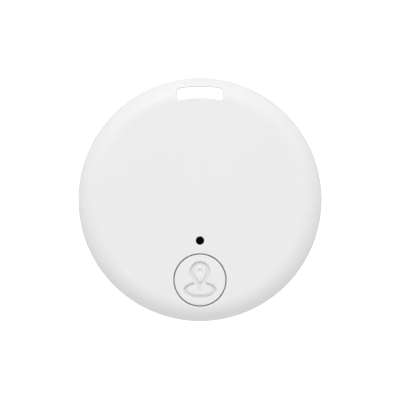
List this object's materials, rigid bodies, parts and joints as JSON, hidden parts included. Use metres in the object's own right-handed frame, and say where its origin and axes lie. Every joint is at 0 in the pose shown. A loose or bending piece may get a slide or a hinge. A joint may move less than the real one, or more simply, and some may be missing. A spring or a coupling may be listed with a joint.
{
  "type": "bluetooth tracker tag",
  "caption": "Round white key-finder tag with rounded edges, a strap slot through its rim, a small round press button with a sunk map-pin sign, and a sound hole.",
  "frame": {"origin": "centre of the rear face, on the case's axis", "axes": "+Z out of the front face along the case's axis, +Y towards the strap slot, +X to the right as the front is looked at with the slot up"},
  "size_m": [0.038, 0.038, 0.007],
  "materials": {
    "case_plastic": "moulded white ABS with a very fine even grain",
    "button_plastic": "moulded white ABS, smooth satin face with a sunk pictogram",
    "solder_mask": "green solder mask over glass-fibre laminate",
    "spring_steel": "nickel-plated spring steel strip with stamped edges",
    "gold_plate": "gold-plated copper pad",
    "switch_nylon": "black glass-filled nylon",
    "dome_steel": "thin stainless snap dome",
    "switch_cover_steel": "stamped stainless cover plate",
    "tinned_copper": "tinned copper with a solder skin",
    "plunger_nylon": "black nylon",
    "buzzer_plastic": "black heat-proof plastic",
    "chip_resin": "black moulding resin, lightly pitted",
    "crystal_lid": "nickel-plated lid on a ceramic base",
    "led_housing": "white reflector resin",
    "led_phosphor": "yellow phosphor in clear resin",
    "capacitor_ceramic": "fired tan ceramic with tinned ends",
    "resistor_glaze": "black glaze on white ceramic with tinned ends",
    "cell_steel": "nickel-plated drawn steel, lightly brushed",
    "gasket_nylon": "dark nylon ring",
    "cell_cap_steel": "nickel-plated drawn steel",
    "cell_paste": "pressed black powder",
    "adhesive_foam": "black adhesive ring",
    "mesh_cloth": "fine black woven mesh"
  },
  "bodies": {
    "base": {"rear_shell": "case_plastic", "circuit_board": "solder_mask", "battery_clip": "spring_steel", "negative_contact": "gold_plate", "switch_base": "switch_nylon", "switch_dome": "dome_steel", "switch_cover": "switch_cover_steel", "switch_terminals": "tinned_copper", "buzzer_case": "buzzer_plastic", "buzzer_pads": "tinned_copper", "radio_chip": "chip_resin", "crystal": "crystal_lid", "led_base": "led_housing", "led_lens": "led_phosphor", "chip_capacitors": "capacitor_ceramic", "chip_resistors": "resistor_glaze"},
    "front": {"front_shell": "case_plastic", "mesh_tape": "adhesive_foam", "dust_mesh": "mesh_cloth"},
    "button": {"button_cap": "button_plastic"},
    "plunger": {"switch_plunger": "plunger_nylon"},
    "cell": {"cell_can": "cell_steel", "cell_gasket": "gasket_nylon", "cell_cap": "cell_cap_steel", "cell_core": "cell_paste"}
  },
  "joints": [
    {"name": "front_lift", "type": "slide", "parent": "base", "child": "front", "axis": [0, 0, 1], "range_m": [0, 0.015]},
    {"name": "button_press", "type": "slide", "parent": "front", "child": "button", "axis": [0, 0, -1], "range_m": [0, 0.00025], "stiffness_N_per_m": 6400},
    {"name": "plunger_press", "type": "slide", "parent": "base", "child": "plunger", "axis": [0, 0, -1], "range_m": [0, 0.00025], "deforming": ["switch_dome"]},
    {"name": "cell_slide", "type": "slide", "parent": "base", "child": "cell", "axis": [1, 0, 0], "range_m": [0, 0.0055]}
  ],
  "couplings": [
    {"joint": "plunger_press", "follows": "button_press", "ratio": 1}
  ]
}
